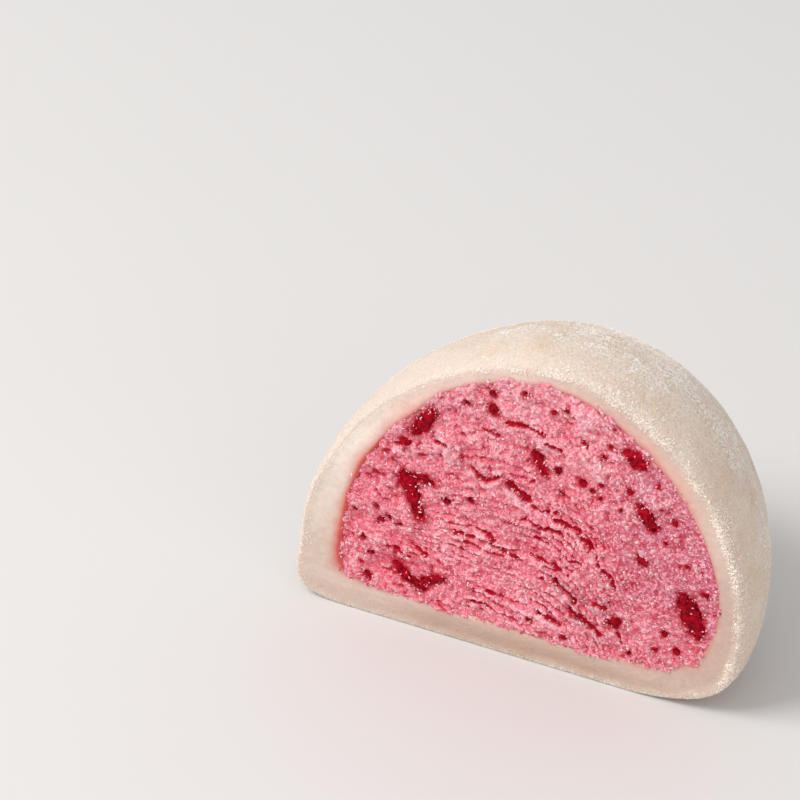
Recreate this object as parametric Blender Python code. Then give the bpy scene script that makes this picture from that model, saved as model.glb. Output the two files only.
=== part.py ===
"""A mochi rice cake half: a soft rice dough shell, the frozen berry filling inside it and the fruit in the filling.

Everything is in metres with +Z up. The flat cut face looks along -Y and the round back along +Y. The flat
base lies on z = 0, and the origin is under the middle of the half's bounding box.
"""

from dataclasses import dataclass, replace
from math import acos, atan2, cos, hypot, pi, radians, sin, sqrt

import bmesh
import bpy
from mathutils import Matrix, Vector

MM = 0.001
OBJECT_NAME = "mochi_half"

# The dough's outer form. Fullness gives a corner's shape: 2 is an ellipse, and more is squarer.
HALF_WIDTH = 22.5 * MM
DEPTH = 24.4 * MM
WAIST = 7.7 * MM
RISE = 26.0 * MM
DROP = 7.95 * MM
UPPER_FULLNESS = (1.93, 1.81)
LOWER_FULLNESS = (6.9, 4.05)
LEAN = 0.15

# The knife's squeeze, which rounds the dough's edge in towards the cut, above a low level only.
SQUEEZE = 1.26 * MM
SQUEEZE_DEPTH = 7.8 * MM
SQUEEZE_LEVEL = 4.6 * MM

# The filling's form, with its middle to the right of the dough's and higher.
FILLING_HALF_WIDTH = 18.4 * MM
FILLING_DEPTH = 20.8 * MM
FILLING_MIDDLE = 0.4 * MM
FILLING_WAIST = 11.3 * MM
FILLING_RISE = 19.1 * MM
FILLING_DROP = 8.3 * MM
FILLING_UPPER_FULLNESS = (2.0, 1.57)
FILLING_LOWER_FULLNESS = (7.05, 3.9)

# Between any two pieces.
GAP = 0.3 * MM

# Where the cut face stands, from the origin.
FACE_MIDDLE = -0.945 * MM
FACE_Y = -0.5 * DEPTH

# The waves that the knife dragged in the filling's cut face. They fall to the right and bend down.
WAVE_LENGTH = 5.0 * MM
WAVE_DEPTH = 0.2 * MM
WAVE_FALL = radians(-22)
WAVE_BEND = 9.0
CALM_BORDER = 0.15

# Fruit pieces, each of one or more lobes: (across, up, length, width) in mm, and a slope in degrees.
FRUIT = {
    "fruit_upper_left": [(-8.0, 23.2, 4.6, 1.8, 53)],
    "fruit_left": [(-9.5, 16.3, 3.0, 1.9, -72), (-8.0, 17.2, 3.4, 1.2, -8), (-8.5, 13.9, 4.2, 1.3, -69)],
    "fruit_lower_left": [(-9.6, 5.7, 3.4, 1.2, -50), (-8.3, 5.1, 2.1, 1.6, -17), (-6.9, 6.1, 3.4, 1.2, 28)],
    "fruit_centre": [(3.4, 22.3, 3.2, 1.5, -68)],
    "fruit_upper_right": [(12.0, 25.5, 3.2, 1.8, -38)],
    "fruit_right": [(13.7, 19.6, 3.8, 1.9, -56)],
    "fruit_lower_right": [(18.1, 10.4, 5.2, 2.3, -68)],
}
FRUIT_DEPTH_PER_WIDTH = 1.5
FRUIT_SINK = 0.35 * MM
FRUIT_RECESS = 0.15 * MM

# The deepest cracks in the filling's cut face: (across, up, length, width) in mm, and a slope in degrees.
CRACKS = {
    "crack_middle": (1.4, 18.8, 2.6, 0.7, -27),
    "crack_upper": (4.8, 17.3, 4.6, 0.5, -9),
    "crack_hook": (8.0, 15.6, 2.2, 0.5, -28),
    "crack_curved": (10.2, 12.7, 3.8, 0.4, -62),
    "crack_lower": (7.4, 7.6, 6.4, 0.6, -46),
}
CRACK_DEPTH = 0.8 * MM

# How finely the surfaces are divided.
SEGMENTS = 72
BACK_RINGS = 10
EDGE_RINGS = 5
INNER_RINGS = 8
FACE_RINGS = 11
LOBE_SEGMENTS = 10
LOBE_RINGS = 6
SHARP_ANGLE = radians(40)

QUARTER_TURN = 0.5 * pi

DOUGH_COLOUR = (0.80, 0.68, 0.57)
FILLING_COLOUR = (0.66, 0.15, 0.20)
FRUIT_COLOUR = (0.30, 0.006, 0.016)


@dataclass(frozen=True)
class Dome:
    """A half dome behind the cut plane y = 0, with its own fullness in each of its four corners."""

    half_width: float
    depth: float
    rise: float
    drop: float
    waist: float
    middle: float
    upper: tuple
    lower: tuple

    def centre(self):
        """The middle of the cut plane's outline, at the widest level."""
        return Vector((self.middle, 0, self.waist))

    def point(self, turn, tilt):
        """The surface at an angle turn round the Y axis and an angle tilt away from it."""
        x = cos(turn) * sin(tilt)
        y = cos(tilt)
        z = sin(turn) * sin(tilt)
        level = hypot(x, y)
        rightward = 0.5 * (1 + x / level) if level > 1e-6 else 0.5
        left, right = self.upper if z > 0 else self.lower
        fullness = left + (right - left) * rightward
        reach = (level**fullness + abs(z) ** fullness) ** (-1 / fullness)
        height = self.rise if z > 0 else self.drop
        return self.centre() + reach * Vector((self.half_width * x, self.depth * y, height * z))

    def grown(self, by):
        """The same dome, larger all round by one distance."""
        return replace(
            self,
            half_width=self.half_width + by,
            depth=self.depth + by,
            rise=self.rise + by,
            drop=self.drop + by,
        )


SKIN = Dome(HALF_WIDTH, DEPTH, RISE, DROP, WAIST, 0, UPPER_FULLNESS, LOWER_FULLNESS)
CORE = Dome(
    FILLING_HALF_WIDTH,
    FILLING_DEPTH,
    FILLING_RISE,
    FILLING_DROP,
    FILLING_WAIST,
    FILLING_MIDDLE,
    FILLING_UPPER_FULLNESS,
    FILLING_LOWER_FULLNESS,
)
CAVITY = CORE.grown(GAP)


def clear_scene():
    """Removes the objects that a new scene starts with."""
    for item in list(bpy.data.objects):
        bpy.data.objects.remove(item, do_unlink=True)


def new_collection(name):
    """A collection linked to the scene."""
    collection = bpy.data.collections.new(name)
    bpy.context.scene.collection.children.link(collection)
    return collection


def new_material(name, colour, roughness, coat=0.0):
    """A Principled material of one colour."""
    material = bpy.data.materials.new(name)
    material.use_nodes = True
    shader = material.node_tree.nodes["Principled BSDF"]
    shader.inputs["Base Color"].default_value = (*colour, 1)
    shader.inputs["Roughness"].default_value = roughness
    shader.inputs["Metallic"].default_value = 0
    shader.inputs["Coat Weight"].default_value = coat
    return material


def placed(place):
    """Leans a dome's point to the right with its height, and moves it into the object's frame."""
    return Vector((place.x + LEAN * place.z + FACE_MIDDLE, place.y + FACE_Y, place.z))


def skin_point(turn, tilt):
    """A point of the dough's skin: squeezed in near the cut and flat where it rests."""
    place = SKIN.point(turn, tilt)
    if place.y < SQUEEZE_DEPTH:
        nearness = min(1 - place.y / SQUEEZE_DEPTH, 1)
        scale = 1 - SQUEEZE / HALF_WIDTH * (1 - sqrt(1 - nearness**2))
        place.x *= scale
        place.z = min(place.z, SQUEEZE_LEVEL + (place.z - SQUEEZE_LEVEL) * scale)
    place.z = max(place.z, 0)
    return placed(place)


def cut_margin_point(turn, part):
    """A point of the dough's cut face, between the skin's edge at part 0 and the cavity's at part 1."""
    return skin_point(turn, QUARTER_TURN).lerp(placed(CAVITY.point(turn, QUARTER_TURN)), part)


def wave_depth(across, up):
    """How deep the drag waves are at a place on the filling's cut face."""
    along = across * cos(WAVE_FALL) + up * sin(WAVE_FALL)
    over = up * cos(WAVE_FALL) - across * sin(WAVE_FALL) + WAVE_BEND * along**2
    return 0.5 * WAVE_DEPTH * (1 - cos(2 * pi * over / WAVE_LENGTH))


def filling_face_point(turn, part):
    """A point of the filling's cut face, between its middle at part 0 and its border at part 1."""
    border = placed(CORE.point(turn, QUARTER_TURN))
    place = placed(CORE.centre()).lerp(border, part)
    place.y += wave_depth(place.x, place.z) * min((1 - part) / CALM_BORDER, 1)
    return place


def skin_tilts():
    """Angles for the skin's rings from the back pole to the cut, closer together where the edge rounds in."""
    squeeze_tilt = acos(SQUEEZE_DEPTH / DEPTH)
    back = [squeeze_tilt * ring / BACK_RINGS for ring in range(BACK_RINGS + 1)]
    bends = [QUARTER_TURN * ring / EDGE_RINGS for ring in range(1, EDGE_RINGS + 1)]
    return back + [acos(SQUEEZE_DEPTH * (1 - sin(bend)) / DEPTH) for bend in bends]


def inner_tilts():
    """Angles for the rings of the filling and of its cavity, from the back pole to the cut."""
    return [QUARTER_TURN * ring / INNER_RINGS for ring in range(INNER_RINGS + 1)]


def dough_rings():
    """The dough's rings, as (surface, position): over the skin, across the cut face, and back along the cavity."""
    rings = [(skin_point, tilt) for tilt in skin_tilts()]
    rings.append((cut_margin_point, 0.5))
    rings += [(lambda turn, tilt: placed(CAVITY.point(turn, tilt)), tilt) for tilt in reversed(inner_tilts())]
    return rings


def filling_rings():
    """The filling's rings, as (surface, position): over its back and then in to the middle of its cut face."""
    rings = [(lambda turn, tilt: placed(CORE.point(turn, tilt)), tilt) for tilt in inner_tilts()]
    rings += [(filling_face_point, ring / FACE_RINGS) for ring in reversed(range(FACE_RINGS))]
    return rings


def shaped_sphere(name, rings, material, collection):
    """A sphere with its poles on the Y axis, whose rings are moved to the given ones, starting at the back."""
    form = bmesh.new()
    spans = len(rings) - 1
    upright_to_y = Matrix.Rotation(QUARTER_TURN, 4, "X")
    bmesh.ops.create_uvsphere(form, u_segments=SEGMENTS, v_segments=spans, radius=1, matrix=upright_to_y)
    for vertex in form.verts:
        from_back = acos(max(-1, min(1, vertex.co.y)))
        surface, position = rings[round(from_back / pi * spans)]
        vertex.co = surface(atan2(vertex.co.z, vertex.co.x), position)
    return new_object(name, form, material, collection)


def new_object(name, form, material, collection):
    """An object made from a bmesh in flat triangles, shaded smooth except at its sharp edges."""
    bmesh.ops.triangulate(form, faces=form.faces)
    mesh = bpy.data.meshes.new(name)
    form.to_mesh(mesh)
    form.free()
    if material:
        mesh.materials.append(material)
    mesh.shade_smooth()
    mesh.set_sharp_from_angle(angle=SHARP_ANGLE)
    item = bpy.data.objects.new(name, mesh)
    collection.objects.link(item)
    return item


def egg(name, size, lobe, sink, collection, material=None):
    """An egg of a full size along, into and across its slope, centred on the cut face and sunk into it."""
    across, up, slope = lobe[0], lobe[1], lobe[-1]
    form = bmesh.new()
    poles_along = Matrix.Rotation(QUARTER_TURN, 4, "Y")
    bmesh.ops.create_uvsphere(
        form, u_segments=LOBE_SEGMENTS, v_segments=LOBE_RINGS, radius=0.5, matrix=poles_along
    )
    bmesh.ops.scale(form, vec=size, verts=form.verts)
    item = new_object(name, form, material, collection)
    item.location = (across * MM + FACE_MIDDLE, FACE_Y + sink, up * MM)
    item.rotation_euler = (0, -radians(slope), 0)
    return item


def lobe_size(lobe, grow):
    """A fruit lobe's full size along, into and across its slope, grown all round by one distance."""
    length, width = lobe[2] * MM, lobe[3] * MM
    return Vector((length, FRUIT_DEPTH_PER_WIDTH * width, width)) + Vector.Fill(3, 2 * grow)


def hide_cutter(item):
    """Marks an object as a cutter, which is never rendered."""
    item.hide_render = True
    item.display_type = "WIRE"


def add_boolean(item, operation, other):
    """Cuts or joins an object with another one."""
    modifier = item.modifiers.new(f"{operation.lower()} {other.name}", "BOOLEAN")
    modifier.operation = operation
    modifier.solver = "EXACT"
    modifier.object = other


def make_knife(cutters):
    """The slab in front of the fruit, whose back trims the fruit a little behind the cut face."""
    form = bmesh.new()
    bmesh.ops.create_cube(form, size=1)
    slab = Vector((3 * HALF_WIDTH, DEPTH, 2 * RISE))
    bmesh.ops.scale(form, vec=slab, verts=form.verts)
    knife = new_object("knife", form, None, cutters)
    knife.location = (0, FACE_Y + FRUIT_RECESS - 0.5 * slab.y, WAIST)
    hide_cutter(knife)
    return knife


def make_eggs(name, lobes, grow, material, collection, cutters):
    """An egg for each lobe, grown all round by one distance and joined into the first."""
    first = egg(name, lobe_size(lobes[0], grow), lobes[0], FRUIT_SINK, collection, material)
    for number, lobe in enumerate(lobes[1:], start=1):
        more = egg(f"{name}_lobe_{number}", lobe_size(lobe, grow), lobe, FRUIT_SINK, cutters)
        hide_cutter(more)
        add_boolean(first, "UNION", more)
    return first


def make_fruit(name, lobes, knife, filling, material, parts, cutters):
    """One fruit piece, trimmed by the knife, and its socket in the filling."""
    socket = make_eggs(f"{name}_socket", lobes, GAP, None, cutters, cutters)
    hide_cutter(socket)
    add_boolean(filling, "DIFFERENCE", socket)
    piece = make_eggs(name, lobes, 0, material, parts, cutters)
    add_boolean(piece, "DIFFERENCE", knife)
    return piece


def make_crack(name, crack, filling, cutters):
    """A narrow groove in the filling's cut face."""
    size = Vector((crack[2] * MM, 2 * CRACK_DEPTH, crack[3] * MM))
    groove = egg(name, size, crack, 0, cutters)
    hide_cutter(groove)
    add_boolean(filling, "DIFFERENCE", groove)


def main():
    clear_scene()
    parts = new_collection(OBJECT_NAME)
    cutters = new_collection(f"{OBJECT_NAME}_cutters")
    dough_material = new_material("rice_dough", DOUGH_COLOUR, 0.6)
    filling_material = new_material("frozen_filling", FILLING_COLOUR, 0.7)
    fruit_material = new_material("fruit", FRUIT_COLOUR, 0.25, coat=0.5)

    dough = shaped_sphere("dough", dough_rings(), dough_material, parts)
    filling = shaped_sphere("filling", filling_rings(), filling_material, parts)
    pieces = [dough, filling]
    knife = make_knife(cutters)
    for name, lobes in FRUIT.items():
        pieces.append(make_fruit(name, lobes, knife, filling, fruit_material, parts, cutters))
    for name, crack in CRACKS.items():
        make_crack(name, crack, filling, cutters)

    root = bpy.data.objects.new(f"{OBJECT_NAME}_root", None)
    parts.objects.link(root)
    for piece in pieces:
        piece.parent = root


if __name__ == "__main__":
    main()
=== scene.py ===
"""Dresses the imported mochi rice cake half: dusted rice dough, frozen berry filling, fruit, ice and starch.

Every piece is a surface worked out with numpy. "Across" and "up" are a place on the cut face: across from the
middle of the dough's outline, and up from where it rests. Names that end in _mm are in millimetres, the rest
in metres.
"""

from dataclasses import dataclass, replace
from itertools import product
from math import acos, cos, pi, radians, sin

import bpy
import numpy as np
from bpy.props import FloatProperty, FloatVectorProperty, IntProperty, PointerProperty
from mathutils import Euler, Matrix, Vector


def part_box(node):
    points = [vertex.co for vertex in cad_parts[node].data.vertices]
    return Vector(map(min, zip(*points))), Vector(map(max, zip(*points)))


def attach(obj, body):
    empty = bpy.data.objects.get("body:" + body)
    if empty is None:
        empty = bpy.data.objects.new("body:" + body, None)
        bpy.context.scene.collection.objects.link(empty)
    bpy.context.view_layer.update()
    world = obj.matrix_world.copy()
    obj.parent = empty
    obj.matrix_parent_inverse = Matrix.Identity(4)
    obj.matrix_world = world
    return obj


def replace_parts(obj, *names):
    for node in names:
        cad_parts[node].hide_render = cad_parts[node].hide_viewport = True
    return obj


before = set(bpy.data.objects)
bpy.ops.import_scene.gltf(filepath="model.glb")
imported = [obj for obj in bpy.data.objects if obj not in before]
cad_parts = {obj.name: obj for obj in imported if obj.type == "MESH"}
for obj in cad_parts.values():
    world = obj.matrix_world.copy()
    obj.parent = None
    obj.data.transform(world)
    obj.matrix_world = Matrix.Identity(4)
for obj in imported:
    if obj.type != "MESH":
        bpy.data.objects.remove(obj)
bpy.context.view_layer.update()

bl_info = {
    "name": "Mochi half",
    "version": (1, 0, 0),
    "blender": (4, 5, 0),
    "location": "View3D > Sidebar > Mochi",
    "description": "Builds the dough, filling, fruit, ice and starch of a cut mochi rice cake",
    "category": "Add Mesh",
}

MM = 0.001
BODY = "root"
QUARTER_TURN = 0.5 * pi

# The cut face is the front of the dough's box. The dough leans to the right with its height.
DOUGH_LOW, DOUGH_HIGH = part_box("dough")
FACE_Y = DOUGH_LOW.y
FACE_MIDDLE = -0.945 * MM
LEAN = 0.15

# The knife's squeeze, which rounds the dough's edge in towards the cut, above a low level only.
SQUEEZE = 1.26 * MM
SQUEEZE_DEPTH = 7.8 * MM
SQUEEZE_LEVEL = 4.6 * MM

# The broad waves that the knife dragged in the filling. They fall to the right and bend down.
WAVE_LENGTH = 5.0 * MM
WAVE_DEPTH = 0.2 * MM
WAVE_FALL = radians(-22)
WAVE_BEND = 9.0

# Fruit pieces, each of one or more lobes: (across, up, length, width) in mm, and a slope in degrees.
FRUIT = {
    "fruit_upper_left": [(-7.9, 23.3, 3.9, 1.35, 55)],
    "fruit_left": [(-9.5, 16.3, 2.8, 1.5, -70), (-8.0, 17.1, 2.9, 0.9, -8), (-8.8, 14.5, 4.6, 1.2, -69)],
    "fruit_lower_left": [(-9.8, 5.7, 3.2, 0.9, -48), (-8.4, 4.9, 1.7, 1.1, -25), (-7.0, 5.9, 3.0, 0.85, 28)],
    "fruit_centre": [(3.3, 22.3, 2.9, 1.05, -66)],
    "fruit_upper_right": [(12.3, 25.6, 2.7, 1.6, -38)],
    "fruit_right": [(13.6, 19.7, 2.9, 1.35, -60)],
    "fruit_lower_right": [(18.1, 10.4, 4.9, 2.0, -68)],
}
FRUIT_DEPTH_PER_WIDTH = 1.0

# Small bits of fruit in the cut face: (across, up, size) in mm.
FRUIT_BITS = [
    (-9.7, 20.7, 0.9), (-3.7, 26.8, 0.7), (-1.2, 26.7, 1.0), (1.5, 26.0, 0.5), (-1.3, 28.4, 0.6),
    (1.9, 29.5, 0.5), (5.7, 28.7, 0.5), (4.5, 28.1, 0.4), (9.9, 26.1, 0.4), (9.3, 24.9, 0.5),
    (7.4, 25.8, 0.4), (5.1, 22.1, 0.6), (7.4, 21.5, 0.7), (8.3, 20.9, 0.4), (9.1, 20.4, 0.4),
    (9.1, 21.8, 0.4), (5.5, 19.7, 0.4), (14.5, 23.4, 0.4), (11.9, 22.1, 0.8), (14.9, 21.1, 0.4),
    (11.1, 19.7, 0.3), (16.2, 19.9, 0.4), (15.4, 17.5, 0.4), (17.5, 15.7, 0.4), (13.3, 14.9, 1.2),
    (19.4, 13.2, 0.7), (10.9, 7.2, 1.3), (15.8, 7.6, 0.7), (16.9, 5.9, 0.6), (14.9, 5.5, 0.5),
    (12.4, 4.2, 0.3), (6.2, 3.9, 0.6), (2.7, 4.7, 0.5), (-10.7, 18.5, 0.4), (-3.2, 16.3, 0.7),
    (-5.7, 15.3, 0.7), (-12.5, 12.7, 0.5), (-11.3, 11.8, 0.7), (-12.2, 11.1, 0.5), (-10.2, 11.3, 0.4),
    (-14.7, 11.6, 0.4), (-13.9, 8.7, 0.5), (-13.2, 7.1, 0.4), (-13.5, 4.5, 0.8),
]

# Cracks in the cut face: width and depth in mm, and the places (across, up) that each passes through, in mm.
CRACKS = [
    (0.38, 0.5, [(-3.1, 19.6), (-2.4, 19.0), (-1.7, 18.9), (-1.1, 19.1), (-0.6, 19.7)]),
    (0.62, 0.9, [(0.4, 19.1), (1.1, 18.6), (1.8, 18.2), (2.3, 17.9)]),
    (0.26, 0.4, [(2.6, 17.5), (3.4, 17.1), (4.1, 17.1), (5.2, 17.5)]),
    (0.42, 0.55, [(4.9, 16.6), (5.5, 16.6), (6.1, 16.4), (6.7, 16.3), (7.3, 16.0)]),
    (0.22, 0.3, [(1.7, 15.8), (2.5, 15.9), (3.2, 15.6)]),
    (0.4, 0.5, [(3.5, 15.2), (4.3, 15.5), (4.9, 15.4), (5.4, 15.5)]),
    (0.42, 0.6, [(7.2, 15.6), (8.2, 15.1), (8.6, 14.7)]),
    (0.28, 0.5, [(9.0, 14.1), (9.2, 13.3), (9.8, 12.6), (10.6, 12.0), (10.8, 10.9)]),
    (0.28, 0.35, [(3.1, 14.3), (4.3, 13.8)]),
    (0.25, 0.3, [(6.5, 12.8), (7.6, 12.6)]),
    (0.28, 0.35, [(2.7, 12.0), (4.9, 11.5), (6.3, 10.9)]),
    (0.28, 0.3, [(-0.8, 12.0), (2.3, 11.0)]),
    (0.45, 0.6, [(5.2, 10.0), (5.9, 9.5), (6.7, 8.9), (7.1, 8.1)]),
    (0.5, 0.65, [(6.7, 7.3), (7.5, 6.8), (8.3, 6.3), (9.5, 5.3)]),
    (0.35, 0.45, [(3.6, 5.9), (5.7, 5.1)]),
    (0.35, 0.4, [(0.0, 25.6), (1.5, 26.0), (3.6, 25.5)]),
    (0.3, 0.35, [(4.0, 24.7), (5.2, 24.3)]),
    (0.25, 0.3, [(-2.3, 24.4), (-0.7, 24.0)]),
    (0.42, 0.4, [(-10.6, 20.2), (-9.7, 20.7)]),
    (0.3, 0.35, [(-6.6, 21.7), (-5.7, 21.6)]),
    (0.35, 0.4, [(-9.0, 9.3), (-7.7, 8.7)]),
    (0.35, 0.4, [(-10.7, 8.5), (-9.3, 7.7)]),
    (0.3, 0.35, [(8.9, 8.8), (9.9, 8.5)]),
    (0.2, 0.3, [(11.3, 6.4), (11.7, 5.2)]),
    (0.25, 0.3, [(-1.4, 6.6), (0.3, 6.3)]),
    (0.25, 0.3, [(-3.1, 4.9), (-1.0, 4.9)]),
    (0.3, 0.35, [(-4.7, 12.3), (-3.0, 12.3)]),
    (0.35, 0.4, [(-2.6, 13.3), (-1.9, 13.1)]),
    (0.35, 0.4, [(-1.5, 12.9), (-0.9, 12.6)]),
]

# Pale lumps that stand a little proud of the cut face: (across, up, size, height) in mm.
LUMPS = [
    (-2.5, 20.3, 1.1, 0.22), (-4.5, 11.9, 0.9, 0.2), (-1.5, 10.4, 0.8, 0.2), (3.9, 4.8, 1.5, 0.25),
    (-6.2, 16.3, 1.2, 0.25), (-10.6, 18.9, 1.2, 0.3), (-9.6, 19.6, 1.2, 0.32), (-8.6, 20.1, 1.2, 0.34),
    (-7.6, 20.6, 1.2, 0.34), (-6.6, 20.8, 1.1, 0.32), (-5.6, 20.7, 1.1, 0.3), (-4.7, 20.5, 1.0, 0.26), (7.9, 16.6, 0.8, 0.18), (-8.3, 8.6, 1.0, 0.15),
]


@dataclass(frozen=True)
class Dome:
    """A half dome behind the cut plane y = 0, with its own fullness in each of its four corners."""

    half_width: float
    depth: float
    rise: float
    drop: float
    waist: float
    middle: float
    upper: tuple
    lower: tuple

    def centre(self):
        """The middle of the cut plane's outline, at the widest level."""
        return np.array((self.middle, 0, self.waist))

    def points(self, turn, tilt):
        """The surface at angles turn round the Y axis and tilt away from it.

        A direction (x, y, z) reaches out by (level^f + |z|^f)^(-1/f), where level is the length of (x, y) and
        the fullness f blends from the left corner's to the right one's.
        """
        x, y, z = np.broadcast_arrays(np.cos(turn) * np.sin(tilt), np.cos(tilt), np.sin(turn) * np.sin(tilt))
        level = np.hypot(x, y)
        rightward = 0.5 * (1 + x / np.maximum(level, 1e-6))
        upper = z > 0
        left = np.where(upper, self.upper[0], self.lower[0])
        right = np.where(upper, self.upper[1], self.lower[1])
        fullness = left + (right - left) * rightward
        reach = (level**fullness + np.abs(z) ** fullness) ** (-1 / fullness)
        height = np.where(upper, self.rise, self.drop)
        return self.centre() + np.stack((self.half_width * x, self.depth * y, height * z), axis=-1) * reach[..., None]

    def grown(self, by):
        """The same dome, larger all round by one distance."""
        return replace(
            self,
            half_width=self.half_width + by,
            depth=self.depth + by,
            rise=self.rise + by,
            drop=self.drop + by,
        )


SKIN = Dome(22.5 * MM, 24.4 * MM, 26.0 * MM, 7.95 * MM, 7.7 * MM, 0.0, (1.93, 1.81), (6.9, 4.05))
CORE = Dome(18.4 * MM, 20.8 * MM, 19.1 * MM, 8.3 * MM, 11.3 * MM, 0.4 * MM, (2.0, 1.57), (7.05, 3.9))
CAVITY = CORE.grown(0.3 * MM)


# ---------------------------------------------------------------------------------------------------------
# Settings
# ---------------------------------------------------------------------------------------------------------


def length(name, description, default_mm):
    """A length property, given in millimetres."""
    return FloatProperty(
        name=name, description=description, default=default_mm * MM, min=0, precision=5, unit="LENGTH"
    )


def share(name, description, default):
    """A property from 0 to 1."""
    return FloatProperty(name=name, description=description, default=default, min=0, max=1, subtype="FACTOR")


def angle(name, description, default_degrees):
    """An angle property, given in degrees."""
    return FloatProperty(name=name, description=description, default=radians(default_degrees), subtype="ANGLE")


def linear(value):
    """A colour value from 0 to 255 as shown, made linear with the usual 2.4 power curve."""
    shown = value / 255
    return shown / 12.92 if shown <= 0.04045 else ((shown + 0.055) / 1.055) ** 2.4


def colour(name, description, *shown):
    """A colour property, given as red, green and blue from 0 to 255."""
    return FloatVectorProperty(
        name=name, description=description, default=[linear(part) for part in shown], min=0, max=1, subtype="COLOR"
    )


class MochiDoughSettings(bpy.types.PropertyGroup):
    """Sizes and colours of the rice dough."""

    lump_height: length("Lump height", "How far the skin's soft lumps rise and fall", 0.16)
    lump_size: length("Lump size", "Distance from one soft lump to the next", 6.0)
    skin_colour: colour("Skin", "Colour of the bare skin", 228, 211, 195)
    warm_colour: colour("Thin skin", "Colour of the bare skin where it is thin or damp", 221, 196, 173)
    powder_colour: colour("Powder", "Colour of the starch that is rubbed into the skin", 251, 243, 235)
    # Painted shade: the cut face turns towards this colour near its base, towards the right and at the lower left.
    cut_colour: colour("Cut dough", "Colour of the dough's cut face", 243, 232, 219)
    base_shade_colour: colour("Cut base", "Colour of the cut face near the base", 182, 146, 129)
    blush_colour: colour("Blush", "Colour that the filling lends the cut dough beside it", 234, 164, 151)
    # A red band along the cut dough's inner edge beside the filling, widest at the left.
    edge_red_colour: colour("Stain", "Colour of the juice in the cut dough's inner edge", 206, 78, 70)
    softness: length("Softness", "How far light travels in the dough", 0.9)


class MochiFillingSettings(bpy.types.PropertyGroup):
    """Sizes and colours of the frozen berry filling."""

    ridge_spacing: length("Ridge spacing", "Distance between the ridges that the knife dragged", 0.95)
    ridge_height: length("Ridge height", "How far a ridge's lip stands out", 0.36)
    grain_size: length("Grain size", "Width of one icy grain", 0.4)
    grain_height: length("Grain height", "How far one icy grain stands out", 0.18)
    lump_height: length("Lump height", "How far the crumbly lumps rise and fall", 0.2)
    crack_depth: share("Crack depth", "Share of each crack's full depth", 1.0)
    pink_colour: colour("Pink", "Colour of the filling", 236, 127, 145)
    # Partly painted highlight: this colour lightens raised parts and the lips of cracks and ridges as if lit; it also
    # marks frosty grains and the face towards its top.
    pale_and_highlight_colour: colour("Pale pink", "Colour of frosty grains and of raised lips", 251, 192, 200)
    # Painted shade: besides darker grains and patches, this colour is laid into cracks, pits, seams, low places and
    # under the ridge lips.
    deep_colour: colour("Deep pink", "Colour inside cracks and under lips", 196, 16, 50)
    mauve_colour: colour("Mauve", "Colour of the smoother part at the right", 208, 112, 134)
    # Partly painted shade: besides the stain around the fruit, this colour is laid inside cracks and under the ridge
    # lips.
    berry_stain_and_shade_colour: colour("Berry stain", "Colour of the filling around the fruit", 176, 10, 38)
    softness: length("Softness", "How far light travels in the filling", 0.35)


class MochiFruitSettings(bpy.types.PropertyGroup):
    """Sizes and colours of the fruit."""

    sink: length("Sink", "How far the fruit lies behind the cut face", 0.16)
    lump_height: length("Lump height", "How far the fruit's flesh rises and falls", 0.16)
    raggedness: share("Raggedness", "How much the outlines wander", 0.16)
    flesh_colour: colour("Flesh", "Colour of the fruit's flesh", 176, 4, 32)
    dark_colour: colour("Dark flesh", "Colour of its deeper parts", 116, 0, 16)


class MochiGrainSettings(bpy.types.PropertyGroup):
    """Numbers, sizes and colours of the ice, the starch and the crumbs."""

    ice_count: IntProperty(name="Ice crystals", description="Crystals on the filling", default=6500, min=0)
    ice_size: length("Ice size", "Usual width of an ice crystal", 0.13)
    ice_colour: colour("Ice", "Colour of the clearest crystals", 255, 242, 242)
    ice_tint: colour("Tinted ice", "Colour of crystals with juice in them", 252, 158, 174)
    starch_count: IntProperty(name="Starch grains", description="Grains on the skin", default=24000, min=0)
    starch_size: length("Starch size", "Usual width of a starch grain", 0.085)
    starch_colour: colour("Starch", "Colour of the loose starch", 255, 246, 238)
    rim_count: IntProperty(name="Rim grains", description="Grains along the cut edge", default=4200, min=0)
    rim_size: length("Rim size", "Usual width of a grain along the cut edge", 0.13)
    crumb_count: IntProperty(name="Crumbs", description="Filling crumbs by the dough", default=260, min=0)
    crumb_size: length("Crumb size", "Usual width of a crumb", 0.2)


class MochiStageSettings(bpy.types.PropertyGroup):
    """The floor, the lights and the camera."""

    floor_colour: colour("Floor", "Colour of the floor", 214, 212, 210)
    floor_width: length("Floor width", "Width of the floor", 4000)
    key_power: FloatProperty(name="Key light", description="Power of the main light", default=2.55, unit="POWER")
    fill_power: FloatProperty(name="Fill light", description="Power of the fill light", default=0.53, unit="POWER")
    sky: FloatProperty(name="Sky", description="Brightness of the light from all round", default=0.66, min=0)
    view_turn: angle("View turn", "How far round to the right the camera stands", 25.64)
    view_tilt: angle("View tilt", "How far the camera looks down", 35.12)
    focal_length: FloatProperty(name="Lens", description="Focal length of the camera, in mm", default=148.5)


# ---------------------------------------------------------------------------------------------------------
# Numbers: noise, grains and distances
# ---------------------------------------------------------------------------------------------------------

LATTICE = 64


def ease(value):
    """A smooth step: three squares of the value less two cubes, with the value kept between 0 and 1."""
    kept = np.clip(value, 0, 1)
    return kept * kept * (3 - 2 * kept)


def ramp(value, start, end):
    """Eases from 0 where the value is start to 1 where it is end."""
    return ease((value - start) / (end - start))


def bell(value, width):
    """A bell curve: e to the minus square of the value over the width."""
    return np.exp(-((value / width) ** 2))


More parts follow.
